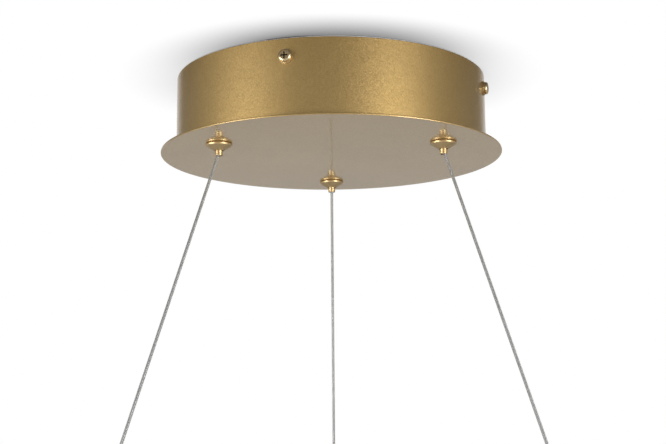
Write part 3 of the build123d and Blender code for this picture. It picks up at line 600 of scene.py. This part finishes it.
# The jacket: a plain tube, drawn in a little at both cut ends.
select_nothing()
bpy.ops.mesh.primitive_cylinder_add(
    vertices=jacket_corners,
    radius=jacket_radius,
    depth=cable_total,
    location=(0, 0, -cable_total / 2),
)
jacket = named("jacket_master")
bpy.ops.object.mode_set(mode="EDIT")
bpy.ops.mesh.select_mode(type="FACE")
bpy.ops.mesh.select_all(action="DESELECT")
bpy.ops.object.mode_set(mode="OBJECT")
for face in jacket.data.polygons:
    is_end = abs(face.normal.z) > 0.9
    face.select = is_end
bpy.ops.object.mode_set(mode="EDIT")
bpy.ops.mesh.inset(thickness=jacket_end_step, depth=jacket_end_rise, use_individual=True)
bpy.ops.mesh.select_mode(type="VERT")
bpy.ops.object.mode_set(mode="OBJECT")
bpy.ops.object.shade_smooth_by_angle(angle=jacket_smooth_angle)

strand_steel = worn_metal(
    "strand_steel", dark=(0.24, 0.24, 0.235), light=(0.44, 0.44, 0.43), roughness=(0.24, 0.40),
    grain_scale=2400.0, bump_height=0.000006,
)
clear_jacket, tree, shader, here = shader_finish(
    "clear_jacket", 0.0, Base_Color=(0.50, 0.50, 0.49, 1), IOR=1.45, Alpha=0.45
)
smear = add_noise(tree, here, jacket_smear_scale)
tree.links.new(add_range(tree, smear, jacket_gloss), shader.inputs["Roughness"])
ripple = add_noise(tree, here, jacket_ripple_scale)
tree.links.new(add_bump(tree, ripple, jacket_ripple_height), shader.inputs["Normal"])
strands.data.materials.append(strand_steel)
jacket.data.materials.append(clear_jacket)

for number, azimuth in enumerate(gland_azimuths, start=1):
    angle = math.radians(azimuth)
    leaves_at = (exit_radius * math.cos(angle), exit_radius * math.sin(angle), exit_level)
    down_the_line = Matrix.Rotation(angle, 4, "Z") @ Matrix.Rotation(-cable_lean, 4, "Y")
    place = Matrix.Translation(leaves_at) @ down_the_line @ Matrix.Translation((0, 0, cable_inside))
    for master, name in ((strands, f"cable_strands_{number}"), (jacket, f"cable_jacket_{number}")):
        piece = own_copy(master, name, place)
        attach(piece, f"cable_{number}")
        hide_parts(f"cable_{number}")
    dress(polished_steel, f"ferrule_{number}")
    dress(strand_steel, f"cable_tail_{number}")
for master in (strands, jacket):
    bpy.data.objects.remove(master)

plastic_cloud_scale = 35.0


def moulded_plastic(name, dark, light, roughness, grain_scale=900.0, bump_height=0.00001, **uniform):
    """Moulded plastic: slight clouding, uneven gloss and a fine spark-eroded grain."""
    material, tree, shader, here = shader_finish(name, 0.0, **uniform)
    grain = add_noise(tree, here, grain_scale, detail=3.0, roughness=0.6)
    clouds = add_noise(tree, here, plastic_cloud_scale, detail=3.0)
    tree.links.new(add_colours(tree, clouds, dark, light), shader.inputs["Base Color"])
    tree.links.new(add_range(tree, grain, roughness), shader.inputs["Roughness"])
    tree.links.new(add_bump(tree, grain, bump_height), shader.inputs["Normal"])
    return material


splice_nylon = moulded_plastic(
    "splice_nylon", dark=(0.70, 0.67, 0.58), light=(0.82, 0.80, 0.72), roughness=(0.30, 0.44)
)
dress(splice_nylon, "cable_splices")

# ---------------------------------------------------------------- ceiling bracket
# Pressed zinc-plated sheet with two slots for the ceiling screws and four tabs for the drum. The
# small screws inside the canopy are plated as it is.

dress(zinc_plate, "ceiling_bracket", "driver_screws", "terminal_screws", "block_screw", "earth_screw")

# ---------------------------------------------------------------- light driver and terminal block
# A white moulded box with a snap-in lid round a circuit board, and a three-pole terminal block of
# the same plastic. Both are screwed to the underside of the ceiling bracket.

white_moulding = moulded_plastic(
    "white_moulding", dark=(0.74, 0.74, 0.71), light=(0.82, 0.82, 0.80), roughness=(0.38, 0.52)
)
dress(white_moulding, "driver_case", "driver_lid", "terminal_block")
solder_mask = moulded_plastic(
    "solder_mask", dark=(0.02, 0.13, 0.05), light=(0.04, 0.22, 0.09), roughness=(0.22, 0.36),
    grain_scale=400.0,
)
dress(solder_mask, "driver_board")
potted_black = moulded_plastic(
    "potted_black", dark=(0.018, 0.018, 0.019), light=(0.04, 0.04, 0.042), roughness=(0.32, 0.5)
)
dress(potted_black, "driver_components")

# ---------------------------------------------------------------- leads in the canopy
# Soft insulated leads, cut to length and bent by hand: brown and blue from the terminal block to
# the driver, green-yellow to the earth screw, and white from the driver to the cables.

lead_colours = {
    "live_lead": ((0.13, 0.055, 0.022), (0.20, 0.09, 0.04)),
    "neutral_lead": ((0.02, 0.09, 0.36), (0.035, 0.14, 0.48)),
    "output_lead_1": ((0.66, 0.66, 0.64), (0.78, 0.78, 0.77)),
}
earth_green = (0.03, 0.24, 0.05)
earth_yellow = (0.72, 0.62, 0.04)
earth_band_scale = 110.0
earth_band_wobble = 0.4
earth_grain_scale = 900.0
lead_roughness = (0.34, 0.48)

for name, (dark, light) in lead_colours.items():
    insulation = moulded_plastic(
        f"{name}_insulation", dark, light, lead_roughness, grain_scale=1200.0
    )
    dress(insulation, name)
white_insulation = nodes["output_lead_1"].data.materials[0]
dress(white_insulation, "output_lead_2", "output_lead_3")

earth_stripe, tree, shader, here = shader_finish("earth_stripe", 0.0)
bands = tree.nodes.new("ShaderNodeTexWave")
bands.bands_direction = "X"
bands.inputs["Scale"].default_value = earth_band_scale
bands.inputs["Distortion"].default_value = earth_band_wobble
tree.links.new(here, bands.inputs["Vector"])
stripes = add_colours(tree, bands.outputs["Fac"], earth_green, earth_yellow, low=0.48, high=0.52)
tree.links.new(stripes, shader.inputs["Base Color"])
grain = add_noise(tree, here, earth_grain_scale)
tree.links.new(add_range(tree, grain, lead_roughness), shader.inputs["Roughness"])
dress(earth_stripe, "earth_lead")

# ---------------------------------------------------------------- light ring
# A bent aluminium channel, lacquered as the canopy is, with a splice piece at its one seam, a
# strip of light chips under its web and an opal diffuser pushed in from below.

dress(gold_lacquer, "ring_profile")
mill_aluminium = worn_metal(
    "mill_aluminium", dark=(0.48, 0.49, 0.50), light=(0.66, 0.67, 0.68), roughness=(0.24, 0.42),
    grain_scale=500.0, bump_height=0.00001, stretch=(1, 1, 8),
)
dress(mill_aluminium, "ring_joiner")
dress(zinc_plate, "joiner_screws")
strip_mask = moulded_plastic(
    "strip_mask", dark=(0.76, 0.76, 0.74), light=(0.84, 0.84, 0.82), roughness=(0.30, 0.42),
    grain_scale=500.0,
)
dress(strip_mask, "led_strip")
phosphor = moulded_plastic(
    "phosphor", dark=(0.80, 0.60, 0.10), light=(0.90, 0.74, 0.20), roughness=(0.25, 0.4),
    grain_scale=1500.0,
)
dress(phosphor, "led_chips")
opal = moulded_plastic(
    "opal", dark=(0.84, 0.83, 0.80), light=(0.89, 0.885, 0.86), roughness=(0.30, 0.40),
    grain_scale=700.0, bump_height=0.000006,
    Subsurface_Weight=0.25, Subsurface_Scale=0.004,
)
dress(opal, "diffuser")

# ---------------------------------------------------------------- cable anchors on the ring
# Turned gold caps over the ferrules, screwed on bases whose studs go through insulating bushes in
# the ring's top. A nut clamps each from below, with the ring tag of its feed lead between.

dress(turned_gold, "anchor_caps", "anchor_bases")
dress(white_moulding, "anchor_bushes", "anchor_insulators")
dress(zinc_plate, "anchor_nuts")
dress(white_insulation, "feed_leads")

# ---------------------------------------------------------------- finish
# Nothing is left selected or active.

select_nothing()
